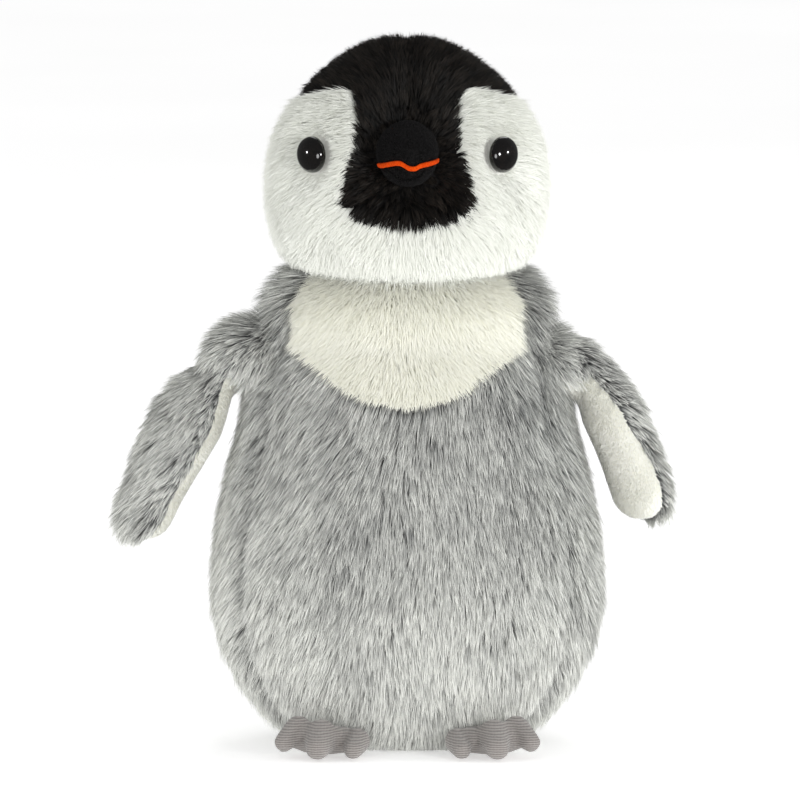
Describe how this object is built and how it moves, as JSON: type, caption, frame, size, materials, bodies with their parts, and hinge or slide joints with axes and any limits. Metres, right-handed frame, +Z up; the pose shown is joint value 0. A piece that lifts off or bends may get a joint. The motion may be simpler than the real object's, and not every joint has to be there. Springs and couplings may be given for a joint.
{
  "type": "plush penguin",
  "caption": "Standing stuffed penguin chick with frosted grey body, black cap, white face, cream bib, lined wings, short beak and knit feet.",
  "frame": {"origin": "middle of the flat underside of the base, on the surface the toy stands on", "axes": "+Z up through the head, -Y the way the face looks, +X towards the viewer's right"},
  "size_m": [0.2321, 0.1481, 0.2973],
  "materials": {
    "grey_plush": "matte",
    "bib_plush": "matte",
    "white_plush": "matte",
    "black_plush": "matte",
    "beak_plush": "matte",
    "orange_felt": "matte",
    "lining_plush": "matte",
    "foot_knit": "matte",
    "inner_cloth": "matte",
    "filling": "matte",
    "eye_plastic": "gloss",
    "washer_plastic": "matte"
  },
  "bodies": {
    "torso": {"body_front_panel": "grey_plush", "bib_panel": "bib_plush", "side_panel_left": "grey_plush", "side_panel_right": "grey_plush", "back_panel_left": "grey_plush", "back_panel_right": "grey_plush", "base_panel": "grey_plush", "body_stuffing": "filling", "pellet_bag": "inner_cloth"},
    "neck": {"neck_stuffing": "inner_cloth"},
    "head": {"crown_panel_left": "black_plush", "crown_panel_right": "black_plush", "muzzle_panel": "black_plush", "face_panel_left": "white_plush", "face_panel_right": "white_plush", "nape_panel_left": "black_plush", "nape_panel_right": "black_plush", "head_stuffing": "filling", "eye_left": "eye_plastic", "eye_right": "eye_plastic", "eye_washer_left": "washer_plastic", "eye_washer_right": "washer_plastic", "beak_upper": "beak_plush", "beak_lower": "beak_plush", "mouth_lining": "orange_felt", "beak_stuffing": "filling"},
    "wing_left": {"wing_outer_left": "grey_plush", "wing_lining_left": "lining_plush", "wing_stuffing_left": "filling"},
    "wing_right": {"wing_outer_right": "grey_plush", "wing_lining_right": "lining_plush", "wing_stuffing_right": "filling"},
    "foot_left": {"foot_upper_left": "foot_knit", "foot_sole_left": "foot_knit", "foot_stuffing_left": "filling"},
    "foot_right": {"foot_upper_right": "foot_knit", "foot_sole_right": "foot_knit", "foot_stuffing_right": "filling"}
  },
  "joints": [
    {"name": "head_turn", "type": "hinge", "parent": "torso", "child": "neck", "pos_m": [0, 0, 0.19], "axis": [0, 0, 1], "range_deg": [-25, 25], "stiffness_Nm_per_rad": 0.8},
    {"name": "head_nod", "type": "hinge", "parent": "neck", "child": "head", "pos_m": [0, 0, 0.19], "axis": [1, 0, 0], "range_deg": [-8, 8], "stiffness_Nm_per_rad": 3},
    {"name": "wing_left_raise", "type": "hinge", "parent": "torso", "child": "wing_left", "pos_m": [-0.07, 0, 0.164], "axis": [0, 1, 0], "range_deg": [-8, 60], "stiffness_Nm_per_rad": 0.15},
    {"name": "wing_right_raise", "type": "hinge", "parent": "torso", "child": "wing_right", "pos_m": [0.07, 0, 0.164], "axis": [0, -1, 0], "range_deg": [-5, 60], "stiffness_Nm_per_rad": 0.15},
    {"name": "foot_left_lift", "type": "hinge", "parent": "torso", "child": "foot_left", "pos_m": [-0.036, -0.053, 0.005], "axis": [-1, 0, 0], "range_deg": [0, 20], "stiffness_Nm_per_rad": 0.1},
    {"name": "foot_right_lift", "type": "hinge", "parent": "torso", "child": "foot_right", "pos_m": [0.036, -0.053, 0.005], "axis": [-1, 0, 0], "range_deg": [0, 20], "stiffness_Nm_per_rad": 0.1}
  ]
}
